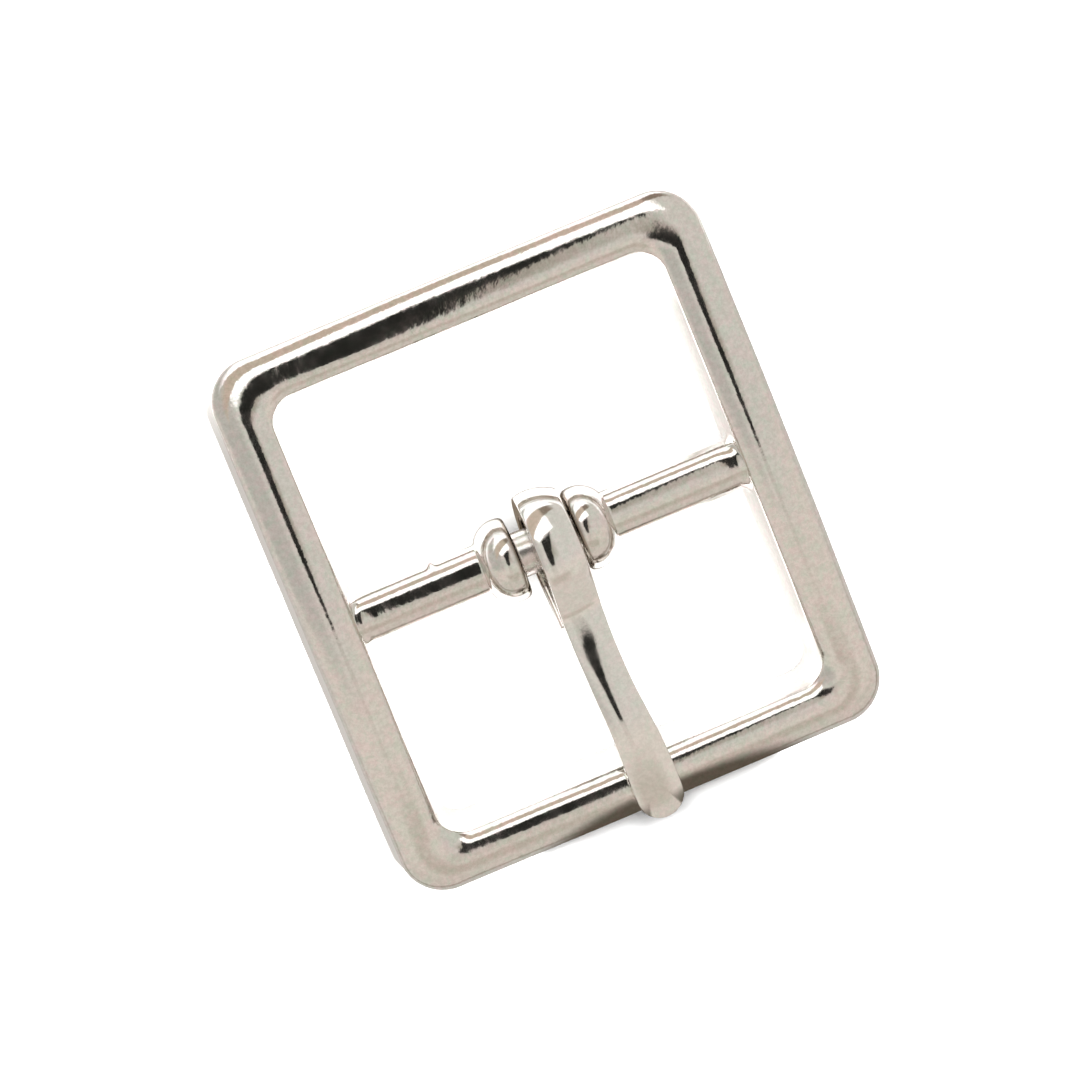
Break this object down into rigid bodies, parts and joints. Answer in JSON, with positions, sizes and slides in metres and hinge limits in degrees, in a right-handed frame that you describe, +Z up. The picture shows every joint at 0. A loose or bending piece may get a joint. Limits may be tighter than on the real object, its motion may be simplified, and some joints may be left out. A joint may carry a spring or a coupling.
{
  "type": "square centre bar buckle",
  "caption": "Cast strap buckle: arched, domed square frame with a centre bar between bead collars and a bent tongue that swings on the bar.",
  "frame": {"origin": "on the surface that the buckle lies on, below the middle of the whole buckle", "axes": "+X along the bar, +Y towards the end of the frame that the tongue points away from, +Z up, away from the wearer"},
  "size_m": [0.0342, 0.0376, 0.007],
  "materials": {
    "nickel_plate": "bright nickel plate over cast metal, slightly wavy"
  },
  "bodies": {
    "frame": {"frame": "nickel_plate"},
    "tongue": {"tongue": "nickel_plate"}
  },
  "joints": [
    {"name": "tongue_swing", "type": "hinge", "parent": "frame", "child": "tongue", "pos_m": [0.00025, 0.0003, 0.00315], "axis": [-1, 0, 0], "range_deg": [0, 166]}
  ]
}
